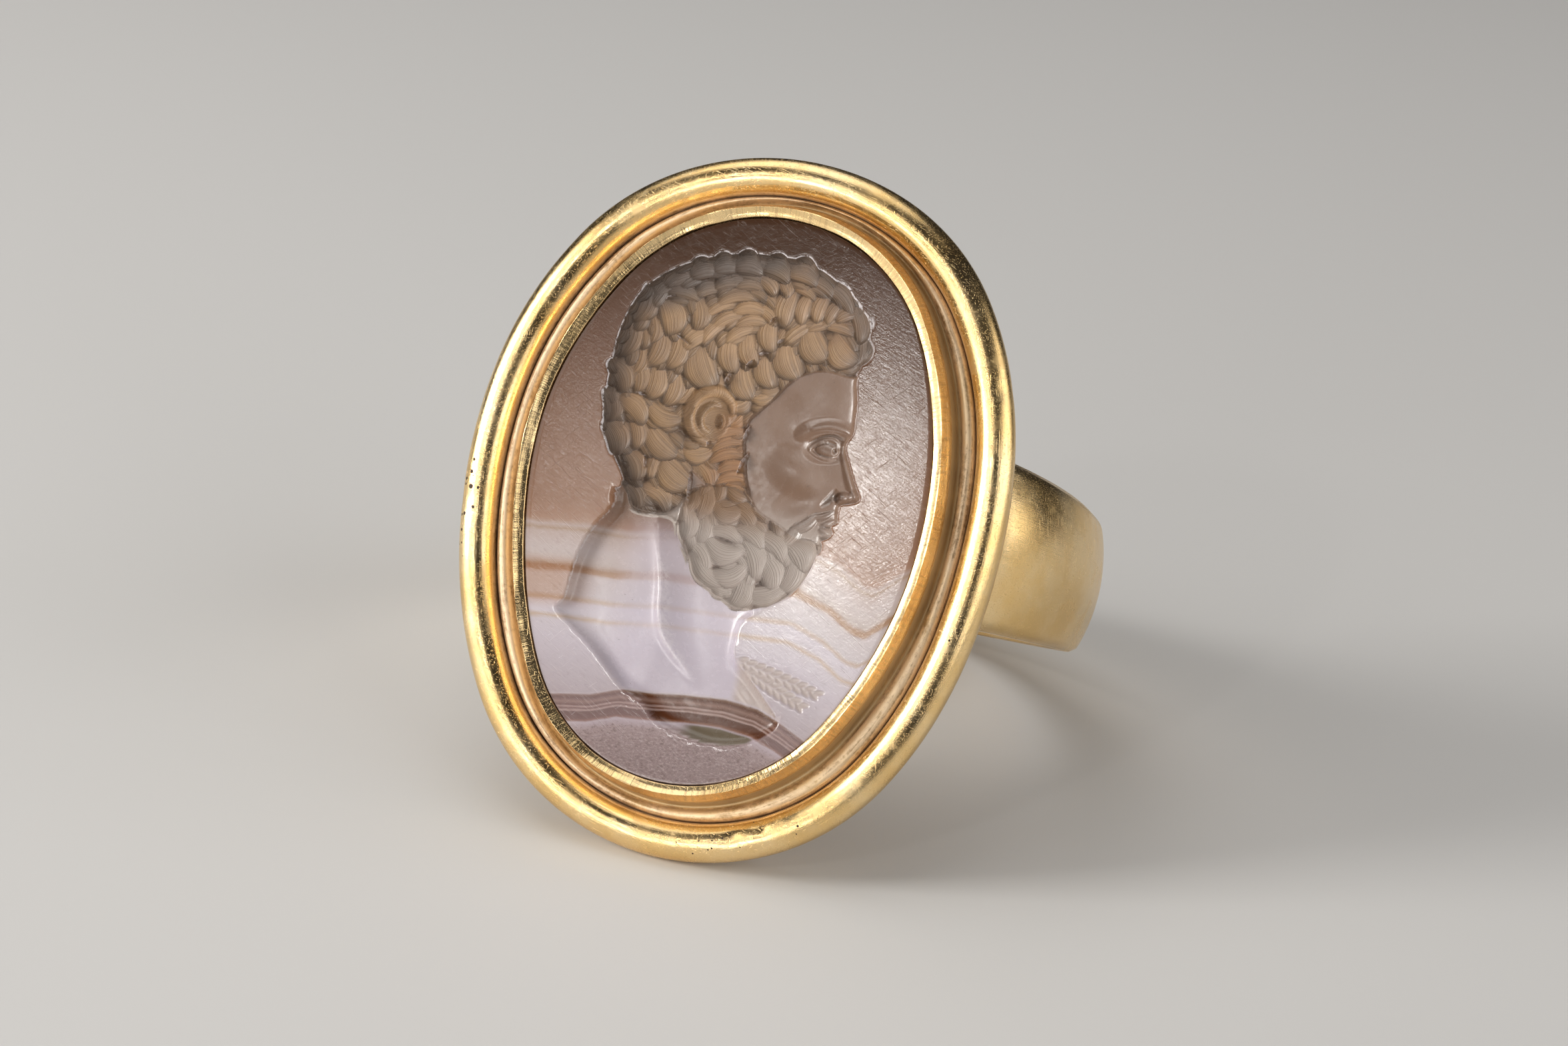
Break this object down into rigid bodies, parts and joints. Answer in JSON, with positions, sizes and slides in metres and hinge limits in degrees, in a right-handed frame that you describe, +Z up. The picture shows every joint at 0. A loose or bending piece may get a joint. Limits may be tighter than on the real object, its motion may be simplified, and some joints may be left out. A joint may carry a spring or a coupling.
{
  "type": "intaglio ring",
  "caption": "Gold finger ring with a moulded oval setting around a banded agate, carved with a sunk bearded bust in profile.",
  "frame": {"origin": "on the surface that the ring rests on, under the middle of its outer box", "axes": "+Z up; the setting faces -Y and leans back; +X runs to the right across the setting"},
  "size_m": [0.0224, 0.0236, 0.0212],
  "materials": {
    "gold": "polished yellow gold, lightly scratched, with dark residue in the grooves",
    "agate": "polished banded agate, translucent brown over milky white, with a matt sunk carving"
  },
  "bodies": {
    "root": {"ring_mount": "gold", "stone": "agate"}
  },
  "joints": []
}
